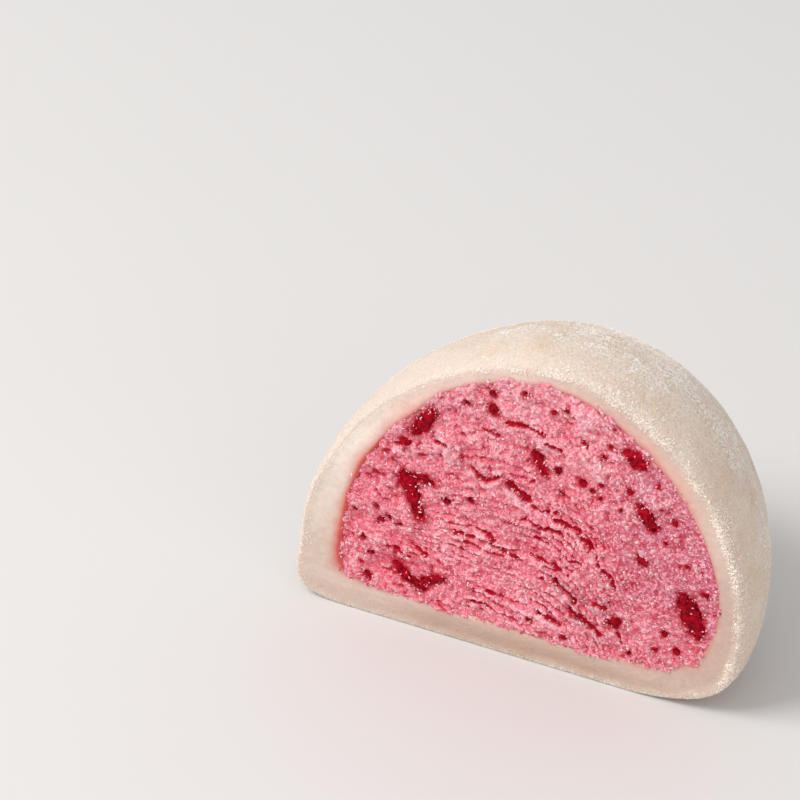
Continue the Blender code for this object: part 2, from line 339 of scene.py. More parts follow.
def noise(points, size, seed):
    """Smooth noise from -1 to 1: random numbers on a repeating lattice, blended by eased distances."""
    dimensions = points.shape[-1]
    table = np.random.default_rng(seed).uniform(-1, 1, (LATTICE,) * dimensions)
    place = points / size
    cell = np.floor(place).astype(int)
    part = ease(place - cell)
    total = np.zeros(points.shape[:-1])
    for corner in product((0, 1), repeat=dimensions):
        weight = np.prod(np.where(corner, part, 1 - part), axis=-1)
        total += weight * table[tuple(np.moveaxis((cell + corner) % LATTICE, -1, 0))]
    return total


def rough(points, size, seed, octaves=3):
    """Noise with finer noise on it: each octave has half the size and half the height of the last."""
    return sum(noise(points, size / 2**step, seed + step) / 2**step for step in range(octaves))


def grains(points, size, seed):
    """Packed grains: each square of a lattice holds one middle, moved at random.

    Gives the distance to the nearest middle, in squares, and that grain's own random number.
    """
    rng = np.random.default_rng(seed)
    middles = rng.uniform(0.05, 0.95, (LATTICE, LATTICE, 2))
    numbers = rng.uniform(0, 1, (LATTICE, LATTICE))
    place = points / size
    cell = np.floor(place).astype(int)
    nearest = np.full(points.shape[:-1], 9.0)
    number = np.zeros(points.shape[:-1])
    for step in product((-1, 0, 1), repeat=2):
        square = cell + step
        index = tuple(np.moveaxis(square % LATTICE, -1, 0))
        distance = np.linalg.norm(square + middles[index] - place, axis=-1)
        number = np.where(distance < nearest, numbers[index], number)
        nearest = np.minimum(nearest, distance)
    return nearest, number


def path_distance(places, path):
    """The distance to a bent line: the least over its stretches of the distance to the nearest place on each."""
    least = np.full(places.shape[:-1], np.inf)
    for start, end in zip(np.array(path[:-1]), np.array(path[1:])):
        along = end - start
        share_along = np.clip((places - start) @ along / (along @ along), 0, 1)
        nearest = start + share_along[..., None] * along
        least = np.minimum(least, np.linalg.norm(places - nearest, axis=-1))
    return least


def lobe_axes(places, lobe):
    """Places seen along and across a lobe's slope, from its middle, in mm."""
    across, up, _, _, slope = lobe
    turn = radians(slope)
    x, z = places[..., 0] - across, places[..., 1] - up
    return x * cos(turn) + z * sin(turn), z * cos(turn) - x * sin(turn)


def lobe_distance(places, lobes):
    """About how far outside the nearest lobe each place is, in mm, and less than 0 inside.

    With q the length of (u over the half length, v over the half width), it is q (q - 1) over the slope of q.
    """
    least = np.full(places.shape[:-1], np.inf)
    for lobe in lobes:
        u, v = lobe_axes(places, lobe)
        a, b = 0.5 * lobe[2], 0.5 * lobe[3]
        q = np.hypot(u / a, v / b)
        slope = np.maximum(np.hypot(u / a**2, v / b**2), 1e-3)
        least = np.minimum(least, q * (q - 1) / slope)
    return least


# ---------------------------------------------------------------------------------------------------------
# Meshes
# ---------------------------------------------------------------------------------------------------------


def placed(points):
    """Leans a dome's points to the right with their height, and moves them into the object's frame."""
    x, y, z = np.moveaxis(points, -1, 0)
    return np.stack((x + LEAN * z + FACE_MIDDLE, y + FACE_Y, z), axis=-1)


def face_place(points):
    """Each point's place on the cut face, as across and up in mm."""
    return np.stack((points[..., 0] - FACE_MIDDLE, points[..., 2]), axis=-1) / MM


def ring_faces(rings, columns, first=0):
    """Two triangles for each square between neighbouring rings of points. The columns close in a loop."""
    ring, column = np.meshgrid(np.arange(rings - 1), np.arange(columns), indexing="ij")
    beside = (column + 1) % columns
    a, b = first + ring * columns + column, first + ring * columns + beside
    c, d = b + columns, a + columns
    return np.concatenate((np.stack((a, b, c), -1).reshape(-1, 3), np.stack((a, c, d), -1).reshape(-1, 3)))


def fan_faces(pole, loop, reverse=False):
    """Triangles from one point to each stretch of a loop of points."""
    faces = np.stack((np.full(len(loop), pole), np.roll(loop, -1), loop), axis=-1)
    return faces[:, ::-1] if reverse else faces


def closed_rings(rings, marks):
    """A closed form from rings of points, whose first and last rings are each a single point, with its marks."""
    columns = rings.shape[1]
    points = np.concatenate((rings[0, :1], rings[1:-1].reshape(-1, 3), rings[-1, :1]))
    last = len(points) - 1
    loop = np.arange(columns)
    faces = np.concatenate(
        (
            fan_faces(0, 1 + loop),
            ring_faces(len(rings) - 2, columns, first=1),
            fan_faces(last, last - columns + loop, reverse=True),
        )
    )
    flat = {name: np.concatenate((value[0, :1], value[1:-1].ravel(), value[-1, :1])) for name, value in marks.items()}
    return points, outward(points, faces), flat


def joined(forms):
    """Several forms' points and faces as one form."""
    starts = np.cumsum([0] + [len(points) for points, _ in forms[:-1]])
    faces = [faces + start for (_, faces), start in zip(forms, starts)]
    return np.concatenate([points for points, _ in forms]), np.concatenate(faces)


def outward(points, faces):
    """The faces wound so that the volume, the sum of a . (b x c) / 6 over the triangles, is positive."""
    a, b, c = (points[faces[:, corner]] for corner in range(3))
    volume = np.einsum("ij,ij->", a, np.cross(b, c))
    return faces if volume > 0 else faces[:, ::-1]


def new_piece(name, points, faces, material, slot, smooth=True, **values):
    """A mesh object in the scene, riding on the body, with one number per point for each named attribute."""
    mesh = bpy.data.meshes.new(name)
    mesh.from_pydata(points.reshape(-1, 3), [], faces)
    mesh.materials.append(material)
    if smooth:
        mesh.shade_smooth()
    for label, value in values.items():
        attribute = mesh.attributes.new(label, "FLOAT", "POINT")
        attribute.data.foreach_set("value", np.ascontiguousarray(value, dtype=np.float32).ravel())
    if mesh.validate():
        raise RuntimeError(f"{name} has faces that don't hold together")
    mesh.update()
    piece = bpy.data.objects.new(name, mesh)
    bpy.context.scene.collection.objects.link(piece)
    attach(piece, BODY)
    return piece


# ---------------------------------------------------------------------------------------------------------
# Materials
# ---------------------------------------------------------------------------------------------------------


class Recipe:
    """Builds one material, node by node. An input that is a socket is linked, and anything else is set."""

    def __init__(self, name, **shader_values):
        self.material = bpy.data.materials.new(name)
        self.material.use_nodes = True
        self.tree = self.material.node_tree
        self.shader = self.tree.nodes["Principled BSDF"]
        self.fill(self.shader, shader_values)
        self.place = self.node("ShaderNodeTexCoord").outputs["Object"]

    def fill(self, node, values):
        """Sets or links a node's inputs, named in words with underscores or by number."""
        for label, value in values.items():
            if isinstance(label, str):
                label = label.replace("_", " ").title().replace("Ior", "IOR")
            socket = node.inputs[label]
            if isinstance(value, bpy.types.NodeSocket):
                self.tree.links.new(value, socket)
            elif socket.type == "RGBA":
                socket.default_value = (*tuple(value)[:3], 1)
            else:
                socket.default_value = value

    def node(self, kind, values=None, **settings):
        """A new node with these settings and inputs."""
        node = self.tree.nodes.new(kind)
        for label, value in settings.items():
            setattr(node, label, value)
        self.fill(node, values or {})
        return node

    def attribute(self, name):
        """A number kept on the mesh."""
        return self.node("ShaderNodeAttribute", attribute_name=name).outputs["Fac"]

    def noise(self, size, detail=2.0, roughness=0.5):
        """Cloudy noise from 0 to 1, of a given size."""
        values = {"Vector": self.place, "Scale": 1 / size, "Detail": detail, "Roughness": roughness}
        return self.node("ShaderNodeTexNoise", values).outputs["Fac"]

    def cells(self, size, output="Distance"):
        """Cells of a given size: the distance to each one's middle, or its own random colour."""
        return self.node("ShaderNodeTexVoronoi", {"Vector": self.place, "Scale": 1 / size}).outputs[output]

    def math(self, operation, *values):
        """A sum, product or other arithmetic of two or three values."""
        return self.node("ShaderNodeMath", dict(enumerate(values)), operation=operation).outputs[0]

    def span(self, value, low, high, to_low=0.0, to_high=1.0):
        """Maps low..high to another span, and keeps the result inside it."""
        values = {"Value": value, 1: low, 2: high, 3: to_low, 4: to_high}
        return self.node("ShaderNodeMapRange", values).outputs["Result"]

    def mix(self, share_of_second, first, second, blend="MIX"):
        """Blends two colours."""
        node = self.node("ShaderNodeMix", data_type="RGBA", blend_type=blend)
        self.fill(node, {0: share_of_second, 6: first, 7: second})
        return node.outputs[2]

    def bump(self, height, distance, normal=None, strength=1.0):
        """Raises the surface by a height from 0 to 1 times a distance."""
        values = {"Height": height, "Distance": distance, "Strength": strength}
        if normal:
            values["Normal"] = normal
        return self.node("ShaderNodeBump", values).outputs["Normal"]


def dough_material(look):
    """Creamy dough: powdery skin with starch in its grain, and a smooth moist cut face, red and pink beside the
    filling, with painted shade near its base.
    """
    recipe = Recipe(
        "rice_dough_surface",
        subsurface_weight=0.4,
        subsurface_radius=(1.0, 0.62, 0.42),
        subsurface_scale=look.softness,
        specular_ior_level=0.35,
    )
    powder = recipe.attribute("powder")
    cut = recipe.attribute("cut")
    clouds = recipe.noise(3.2 * MM, detail=3)
    skin = recipe.mix(recipe.span(clouds, 0.4, 0.68), look.skin_colour, look.warm_colour)
    fine = recipe.noise(0.3 * MM, detail=3, roughness=0.7)
    clumps = recipe.noise(1.1 * MM, detail=3, roughness=0.65)
    grains_there = recipe.cells(0.18 * MM, "Color")
    skin = recipe.mix(1.0, skin, recipe.span(grains_there, 0.4, 0.95, 1.05, 0.85), blend="MULTIPLY")
    cover = recipe.math("ADD", recipe.math("MULTIPLY", powder, 0.5), recipe.span(clumps, 0.35, 0.65, -0.12, 0.26))
    cover = recipe.math("ADD", cover, recipe.span(fine, 0.3, 0.7, -0.2, 0.2))
    dust = recipe.span(recipe.math("SUBTRACT", cover, grains_there), -0.14, 0.22)
    dusted = recipe.mix(recipe.math("MULTIPLY", dust, recipe.span(powder, 0, 1, 0.5, 1.0)), skin, look.powder_colour)
    # Painted shade: the base mark darkens the cut face near its base, towards the right and at the lower left.
    cut_tone = recipe.mix(recipe.attribute("base"), look.cut_colour, look.base_shade_colour)
    cut_tone = recipe.mix(recipe.attribute("blush"), cut_tone, look.blush_colour)
    cut_tone = recipe.mix(recipe.attribute("stain"), cut_tone, look.edge_red_colour)
    milky = recipe.span(recipe.noise(0.5 * MM, detail=3), 0.35, 0.7, 0.955, 1.045)
    cut_tone = recipe.mix(1.0, cut_tone, milky, blend="MULTIPLY")
    tone = recipe.mix(cut, dusted, cut_tone)
    smooth_share = recipe.math("MULTIPLY", cut, 0.85)
    gritty = recipe.math("SUBTRACT", 1.0, smooth_share)
    rubbed = recipe.math("ADD", fine, recipe.math("MULTIPLY", dust, 0.35))
    grit = recipe.math("MULTIPLY", rubbed, gritty)
    soft = recipe.bump(clouds, 0.25 * MM)
    normal = recipe.bump(grit, 0.22 * MM, soft)
    roughness = recipe.span(recipe.math("SUBTRACT", dust, cut), -1, 1, 0.42, 0.85)
    recipe.fill(recipe.shader, {"Base Color": tone, "Roughness": roughness, "Normal": normal})
    return recipe.material


def filling_material(look):
    """Icy pink filling: grains of different pinks, some frosty and pale, berry stains, painted highlight on raised
    parts and lips, and painted shade in cracks, pits, seams, low places and under lips.
    """
    recipe = Recipe(
        "frozen_filling_surface",
        subsurface_weight=0.6,
        subsurface_radius=(1.0, 0.3, 0.35),
        subsurface_scale=look.softness,
        specular_ior_level=0.06,
    )
    deep = recipe.attribute("deep")
    frost = recipe.attribute("frost")
    berry = recipe.attribute("berry")
    mauve = recipe.attribute("mauve")
    small = recipe.cells(0.2 * MM, "Color")
    pink = recipe.mix(mauve, look.pink_colour, look.mauve_colour)
    cloudy = recipe.noise(1.3 * MM, detail=3, roughness=0.6)
    pink = recipe.mix(recipe.span(cloudy, 0.45, 0.75, 0, 0.35), pink, look.deep_colour)
    # Painted highlight: raised parts and lips are made paler as if lit, besides the frosty and random pale grains.
    pale_share = recipe.math("ADD", recipe.math("MULTIPLY", frost, 0.7), recipe.span(small, 0.45, 0.95, -0.1, 0.75))
    pink = recipe.mix(recipe.span(pale_share, 0, 1), pink, look.pale_and_highlight_colour)
    dark_share = recipe.span(small, 0.4, 0.05, 0, 0.5)
    pink = recipe.mix(dark_share, pink, look.deep_colour)
    # Painted shade: crimson laid into cracks, pits, seams, low places and under the ridge lips.
    pink = recipe.mix(recipe.math("MULTIPLY", deep, 0.97), pink, look.deep_colour)
    # Berry stain around the fruit, and painted shade inside cracks and under the ridge lips.
    pink = recipe.mix(berry, pink, look.berry_stain_and_shade_colour)
    cells = recipe.cells(0.2 * MM)
    fine = recipe.noise(0.1 * MM, detail=2)
    normal = recipe.bump(cells, -0.06 * MM)
    normal = recipe.bump(fine, 0.035 * MM, normal)
    roughness = recipe.span(small, 0.1, 0.9, 0.22, 0.6)
    recipe.fill(recipe.shader, {"Base Color": pink, "Roughness": roughness, "Normal": normal})
    return recipe.material


def fruit_material(look):
    """Wet dark berry flesh: two reds in cloudy patches, bumped by fine cells, with a low roughness."""
    recipe = Recipe(
        "fruit_surface",
        subsurface_weight=0.15,
        subsurface_radius=(1.0, 0.1, 0.1),
        subsurface_scale=0.4 * MM,
        specular_ior_level=0.05,
    )
    cloudy = recipe.noise(0.8 * MM, detail=4, roughness=0.6)
    flesh = recipe.mix(recipe.span(cloudy, 0.36, 0.62), look.dark_colour, look.flesh_colour)
    drupes = recipe.cells(0.5 * MM)
    normal = recipe.bump(drupes, -0.12 * MM)
    normal = recipe.bump(recipe.noise(0.2 * MM), 0.04 * MM, normal)
    roughness = recipe.span(cloudy, 0.3, 0.7, 0.2, 0.42)
    recipe.fill(recipe.shader, {"Base Color": flesh, "Roughness": roughness, "Normal": normal})
    return recipe.material


def ice_material(look):
    """Ice crystals, from clear and bright to tinted with juice, a little cloudy inside."""
    recipe = Recipe("ice", specular_ior_level=0.3)
    tone = recipe.mix(recipe.attribute("shade"), look.ice_tint, look.ice_colour)
    cloudy = recipe.noise(0.05 * MM)
    tone = recipe.mix(recipe.span(cloudy, 0.5, 0.9, 0, 0.4), tone, look.ice_tint)
    roughness = recipe.span(cloudy, 0.3, 0.7, 0.08, 0.3)
    recipe.fill(recipe.shader, {"Base Color": tone, "Roughness": roughness})
    return recipe.material


def starch_material(look):
    """Loose starch: chalky white grains, some a little creamier."""
    recipe = Recipe("starch", specular_ior_level=0.3)
    cream = [part * tint for part, tint in zip(look.starch_colour, (0.9, 0.82, 0.74))]
    tone = recipe.mix(recipe.attribute("shade"), cream, look.starch_colour)
    cloudy = recipe.noise(0.06 * MM)
    roughness = recipe.span(cloudy, 0.3, 0.7, 0.35, 0.7)
    recipe.fill(recipe.shader, {"Base Color": tone, "Roughness": roughness})
    return recipe.material


def floor_material(look):
    """A plain pale floor with a very faint mottle."""
    recipe = Recipe("floor")
    shown = tuple(look.floor_colour)
    darker = tuple(0.985 * part for part in shown)
    tone = recipe.mix(recipe.noise(30 * MM), shown, darker)
    recipe.fill(recipe.shader, {"Base Color": tone, "Roughness": 0.8})
    return recipe.material


# ---------------------------------------------------------------------------------------------------------
# Dough
# ---------------------------------------------------------------------------------------------------------

DOUGH_TURNS = 400
SKIN_RINGS = 96
EDGE_RINGS = 16
MARGIN_RINGS = 30
CAVITY_RINGS = 10


def inset_mm(points):
    """How far the dough's lip reaches in over the filling: most of a millimetre at the left, none elsewhere."""
    across, up = np.moveaxis(face_place(points), -1, 0)
    return 0.85 * ramp(-across, 4, 11) * ramp(up, 1.5, 4.5)


def skin_points(turn, tilt):
    """The dough's skin: the dome, squeezed in near the cut by a quarter circle's rule, and flat where it rests."""
    x, y, z = np.moveaxis(SKIN.points(turn, tilt), -1, 0)
    nearness = np.clip(1 - y / SQUEEZE_DEPTH, 0, 1)
    scale = 1 - SQUEEZE / SKIN.half_width * (1 - np.sqrt(1 - nearness**2))
    z = np.minimum(z, SQUEEZE_LEVEL + (z - SQUEEZE_LEVEL) * scale)
    return placed(np.stack((x * scale, y, np.maximum(z, 0)), axis=-1))


def skin_tilts():
    """Angles for the skin's rings from the back pole to the cut, closer together where the edge rounds in."""
    squeeze_tilt = acos(SQUEEZE_DEPTH / SKIN.depth)
    bends = QUARTER_TURN * np.arange(1, EDGE_RINGS + 1) / EDGE_RINGS
    edge = np.arccos(SQUEEZE_DEPTH * (1 - np.sin(bends)) / SKIN.depth)
    return np.concatenate((np.linspace(0, squeeze_tilt, SKIN_RINGS + 1), edge))


def lumpy_skin(points, look):
    """Moves the skin along the line from the dome's heart by soft lumps and finer ones. The base stays flat."""
    heart = np.array((FACE_MIDDLE, FACE_Y + 6 * MM, SKIN.waist))
    away = points - heart
    away /= np.linalg.norm(away, axis=-1, keepdims=True)
    height = rough(points, look.lump_size, 11) + 0.3 * rough(points, 1.1 * MM, 17)
    calm = ramp(points[..., 2], 0.2 * MM, 2.5 * MM)
    moved = points + away * (0.6 * look.lump_height * height * calm)[..., None]
    moved[..., 2] = np.maximum(moved[..., 2], 0)
    moved[..., 1] = np.maximum(moved[..., 1], FACE_Y)
    return moved


def dough_surface(look):
    """The dough's rings of points from the back pole over the skin, across the cut face and back in the cavity."""
    turn = 2 * pi * np.arange(DOUGH_TURNS) / DOUGH_TURNS
    skin = lumpy_skin(skin_points(turn, skin_tilts()[:, None]), look)
    lip = placed(CORE.points(turn, QUARTER_TURN))
    inward = placed(CORE.centre()) - lip
    lip = lip + inward * (inset_mm(lip) * MM / np.linalg.norm(inward, axis=-1))[:, None]
    part = (np.arange(1, MARGIN_RINGS + 1) / MARGIN_RINGS)[:, None, None]
    margin = skin[-1] + (lip - skin[-1]) * part
    gap_mm = np.linalg.norm(margin - lip, axis=-1) / MM
    uneven = 0.05 * rough(margin, 2.2 * MM, 23) + 0.02 * noise(margin, 0.5 * MM, 29)
    edge_mm = np.linalg.norm(margin - skin[-1], axis=-1) / MM
    sunk_mm = (0.06 + uneven) * ramp(edge_mm, 0, 1.2) + 0.2 * (1 - ramp(gap_mm, 0, 0.4)) ** 2
    margin[..., 1] += sunk_mm * MM
    wall = placed(CAVITY.points(turn, QUARTER_TURN * np.linspace(0.93, 0, CAVITY_RINGS)[:, None]))
    return skin, margin, wall, gap_mm


def dough_marks(skin, margin, wall, gap_mm):
    """Numbers from 0 to 1 for each point: powder, cut, base (painted shade on the cut face), blush and stain (a red
    band along the inner edge).
    """
    behind_mm = (skin[..., 1] - FACE_Y) / MM * (1 + 0.35 * rough(skin, 4 * MM, 131))
    patches = ease(0.5 + 0.75 * rough(skin, 3.5 * MM, 41))
    streaks = ease(0.5 + 0.8 * noise(skin * (1, 1, 0.3), 1.1 * MM, 47))
    clean = bell(behind_mm - 2.6, 2.3)
    powder = 0.42 + 0.6 * patches * (0.6 + 0.4 * streaks)
    powder = powder * (1 - 0.8 * clean) + 0.3 * bell(behind_mm, 0.35)
    frosted = np.array((9 * MM, FACE_Y + 7 * MM, 29 * MM))
    powder = powder + 0.35 * bell(np.linalg.norm(skin - frosted, axis=-1) / MM, 8)
    start = 1 - 0.4 * ramp(skin[..., 0], -4 * MM, 8 * MM)
    cut_skin = bell(behind_mm, 1.7 + 2 * ramp(-skin[..., 0], 0, 10 * MM)) * start * 0.7

    across, up = np.moveaxis(face_place(margin), -1, 0)
    edge_mm = np.linalg.norm(margin - skin[-1], axis=-1) / MM
    wander = 1 + 0.25 * noise(margin, 2.5 * MM, 53) + 0.12 * noise(margin, 0.8 * MM, 59)
    left = ramp(-across, 7, 12.5)
    top = ramp(up, 17, 26)
    low = 1 - ramp(up, 1.2, 4.6)
    # A red band along the inner edge beside the filling, wider at the left and missing near the base.
    stain = left * ramp(up, 2.4, 4.6) * (1 - 0.5 * ramp(up, 13, 23)) * bell(gap_mm * wander, 1.3)
    stain = stain + 0.7 * bell(gap_mm * wander, 0.5) * (1 - low)
    right = ramp(across, 9, 15)
    blush = np.exp(-gap_mm * wander / (1 + 0.6 * top)) * (0.32 + 0.3 * top + 0.22 * left + 0.35 * right)
    blush = blush * (1 - 0.7 * low)
    sides = (np.zeros_like(skin[..., 0]), wall[..., 0] * 0)
    corners = 1 - 0.3 * ramp(-across, 5, 13) - 0.2 * ramp(across, 8, 16)
    # Painted shade: the cut face is made darker near its base, towards the right and at the lower left.
    plain = 0.25 * (1 - ramp(up, 12, 20)) + 0.42 * ramp(across, 1, 11) + 0.25 * left * (1 - ramp(up, 5, 13))
    base = np.maximum(plain, low * corners)
    cut_margin = 0.7 * start[-1] + (1 - 0.7 * start[-1]) * ramp(edge_mm, 0, 1.2) - 0.25 * low
    cut = np.concatenate((cut_skin, cut_margin, sides[1] + 1))
    return {
        "powder": np.concatenate((powder, 0.25 + 0.5 * (1 - ramp(edge_mm, 0, 0.8)) * low, sides[1])),
        "cut": cut,
        "base": np.concatenate((sides[0] + 0.4, base, sides[1])),
        "blush": np.concatenate((sides[0], blush, sides[1] + 1)),
        "stain": np.concatenate((sides[0], np.clip(stain, 0, 1), sides[1] + 0.5)),
    }


class MOCHI_OT_make_dough(bpy.types.Operator):
    """Makes the rice dough: the rounded skin, the cut face and the hollow that holds the filling"""

    bl_idname = "mochi.make_dough"
    bl_label = "Make dough"

    def execute(self, context):
        look = context.scene.mochi_dough
        skin, margin, wall, gap_mm = dough_surface(look)
        rings = np.concatenate((skin, margin, wall))
        points, faces, marks = closed_rings(rings, dough_marks(skin, margin, wall, gap_mm))
        dough = new_piece("rice_dough_shell", points, faces, dough_material(look), "rice_dough", **marks)
        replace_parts(dough, "dough")
        return {"FINISHED"}


# ---------------------------------------------------------------------------------------------------------
# Filling
# ---------------------------------------------------------------------------------------------------------

FACE_CELLS = 284
FILLING_BACK_RINGS = 8
BORDER_OVERLAP = 0.9 * MM


def square_to_disc(cells):
    """Places on a disc for a square grid: the greater of |a| and |b| is the radius, and the other sets the turn."""
    a, b = np.meshgrid(np.linspace(-1, 1, cells + 1), np.linspace(-1, 1, cells + 1), indexing="ij")
    wide = np.abs(a) >= np.abs(b)
    near = np.where(wide, np.where(a == 0, 1, a), np.where(b == 0, 1, b))
    quarter = 0.5 * QUARTER_TURN * np.where(wide, b, a) / near
    turn = np.where(wide, quarter + pi * (a < 0), QUARTER_TURN - quarter + pi * (b < 0))
    return turn, np.maximum(np.abs(a), np.abs(b))


def grid_border(cells):
    """The grid's border points in order, as numbers into the flattened grid."""
    index = np.arange((cells + 1) ** 2).reshape(cells + 1, cells + 1)
    return np.concatenate((index[:-1, 0], index[-1, :-1], index[:0:-1, -1], index[0, :0:-1]))


def wave_depth(points):
    """How deep the broad drag waves are: half of the depth less a cosine of a bent coordinate across them."""
    x, z = points[..., 0], points[..., 2]
    along = x * cos(WAVE_FALL) + z * sin(WAVE_FALL)
    over = z * cos(WAVE_FALL) - x * sin(WAVE_FALL) + WAVE_BEND * along**2
    return 0.5 * WAVE_DEPTH * (1 - np.cos(2 * pi * over / WAVE_LENGTH))


def ridge_height(places, spacing_mm):
    """Shelves that fall to the right and bend down: a saw of a bent, ragged coordinate, highest at each lip.

    Gives the height, how close each place is under a lip, and how close it is to the lip itself.
    """
    x, z = np.moveaxis(places, -1, 0)
    bent = z + 0.15 * x + 0.12 * np.maximum(x - 3, 0) ** 2
    bent = bent + 0.005 * np.maximum(z - 9, 0) * np.minimum(x - 1, 0) ** 2
    bent = bent + 0.26 * rough(places, 2.0, 61, octaves=2) + 0.13 * noise(places, 0.4, 67)
    share_up = np.mod(bent / spacing_mm, 1)
    strong = 0.2 - 0.16 * ramp(-x, 2, 8) + np.exp(-(((x - 2.5) / 7.5) ** 2) - ((z - 10.5) / 7.0) ** 2)
    patches = strong * (0.2 + 0.8 * ease(0.6 + 1.1 * noise(places * (0.5, 1), 1.5, 71)))
    dashes = ramp(noise(places * (0.45, 1), 0.9, 127), -0.15, 0.2) * patches
    # The strip under each lip, which the filling's marks paint as shade.
    under = ramp(share_up, 0.62, 0.7) * dashes
    height = ((1 - share_up) ** 1.7 - 0.35) * patches - 0.3 * under
    return height, under, (1 - ramp(share_up, 0, 0.3)) * patches


def crack_depth(places):
    """How far down each place lies in a crack, in mm, and how near it is to the raised lip below a crack, which the
    marks paint pale as a highlight.
    """
    ragged = 0.14 * noise(places, 0.5, 73) + 0.07 * noise(places, 0.25, 79)
    depth = np.zeros(places.shape[:-1])
    lip = np.zeros(places.shape[:-1])
    for width, deepest, path in CRACKS:
        near = path_distance(places, path) + ragged
        half = 0.58 * width
        depth = np.maximum(depth, 0.45 * deepest * (1 - ramp(near, half - 0.08, half + 0.05)))
        beside = path_distance(places + (0, 1.5 * width), path) + ragged
        lip = np.maximum(lip, (1 - ramp(beside, 0, 1.1 * width)) * np.clip((width - 0.2) * 4, 0.3, 1))
    return depth, lip


def bit_distance(places):
    """How far outside the nearest small bit of fruit each place is, in mm."""
    least = np.full(places.shape[:-1], np.inf)
    for across, up, size in FRUIT_BITS:
        least = np.minimum(least, np.hypot(places[..., 0] - across, places[..., 1] - up) - 0.5 * size)
    return least


def filling_face(look):
    """The cut face as a grid of points, with its marks. Each height is in mm in front of the cut plane."""
    turn, part = square_to_disc(FACE_CELLS)
    middle = placed(CORE.centre())
    reach = placed(CORE.grown(BORDER_OVERLAP).points(turn, QUARTER_TURN)) - middle
    core_reach = np.linalg.norm(placed(CORE.points(turn, QUARTER_TURN)) - middle, axis=-1)
    points = middle + reach * part[..., None]
    outside_mm = (part * np.linalg.norm(reach, axis=-1) - core_reach) / MM + inset_mm(points)
    places = face_place(points)
    x, z = np.moveaxis(places, -1, 0)

    crumbly = 0.45 + 0.55 * np.maximum(ramp(z - 0.5 * x, 15, 24), ramp(-x, 4, 12))
    smooth = ramp(x, 8, 13)
    lumps = crumbly * rough(places, 1.8, 83) + 0.5 * rough(places, 0.7, 89, octaves=2) * (1 - 0.4 * smooth)
    ridges, under, shelf = ridge_height(places, look.ridge_spacing / MM)
    ridges = ridges * (1 - 0.5 * smooth)
    cell, number = grains(places, look.grain_size / MM, 97)
    grain = (0.6 - cell) + 0.6 * (number - 0.5)
    seams = ramp(cell, 0.5, 0.85)
    cracks, lip = crack_depth(places)
    proud = np.zeros_like(x)
    for across, up, size, height in LUMPS:
        proud = np.maximum(proud, height * bell(np.hypot(x - across, z - up) + 0.2 * lumps, 0.5 * size))
    fruit = np.full_like(x, np.inf)
    for lobes in FRUIT.values():
        fruit = np.minimum(fruit, lobe_distance(places, lobes))
    bits = bit_distance(places)
    hollow = noise(places, 0.7, 109) + 0.5 * noise(places, 0.35, 113) - 0.3 * ramp(z, 20, 26)
    pits = ramp(hollow, 0.56, 0.8) * (0.3 + 0.6 * crumbly)
    ragged = 0.16 * noise(places, 0.5, 101) + 0.1 * noise(places, 0.22, 103)

    height = look.lump_height / MM * lumps
    height += look.ridge_height / MM * ridges
    height += look.grain_height / MM * grain
    height += 0.2 * lip * (1 - ramp(cracks, 0, 0.1)) + proud
    height -= look.crack_depth * cracks + 0.2 * pits
    height -= 0.9 * (1 - ramp(fruit + 0.7 * ragged, -0.55, -0.02))
    height -= 0.3 * (1 - ramp(bits + 0.5 * ragged, -0.2, 0.05))
    spill = 0.45 * ramp(rough(places, 1.7, 137, octaves=2), 0, 0.7)
    height -= 0.75 * ramp(outside_mm - spill + 1.3 * ragged, 0.1, 0.8)
    waves = wave_depth(points) * np.minimum((1 - np.minimum(part, 1)) / 0.15, 1)
    points[..., 1] += waves - (height - 0.05) * MM

    # Low places between ridges and lumps, which are painted as shade.
    low = ramp(-(look.ridge_height / MM * ridges + 0.5 * look.lump_height / MM * lumps), 0.02, 0.17)
    marks = {
        # Painted shade: darkens cracks, pits, seams between grains, low places, the strip under each ridge lip, and a
        # little towards the left.
        "deep": np.clip(0.42 * low + 1.5 * under + 0.85 * pits + 0.32 * seams * (1 - 0.4 * smooth) + 1.2 * ramp(cracks, 0.02, 0.12) + 0.1 * ramp(-x, 5, 12), 0, 1),
        # Partly painted highlight: raised places, the lips below cracks and the ridge lips are made paler as if lit;
        # random grains and the face towards its top are also paler.
        "frost": np.clip(ramp(height, 0.02, 0.3) * 0.6 + 0.9 * lip + 0.6 * shelf + 0.25 * ramp(z, 18, 26) + 0.5 * ramp(number, 0.6, 1), 0, 1),
        # Berry stain around the fruit and bits, and painted shade inside cracks and under the ridge lips.
        "berry": np.clip(bell(np.maximum(fruit + 1.4 * ragged + 0.1, 0), 0.4) + 0.9 * bell(np.maximum(bits + ragged, 0), 0.2) + 0.9 * ramp(cracks, 0.03, 0.09) + 0.2 * under, 0, 1),
        "mauve": smooth * ramp(z, 6, 12),
    }
    return points, marks


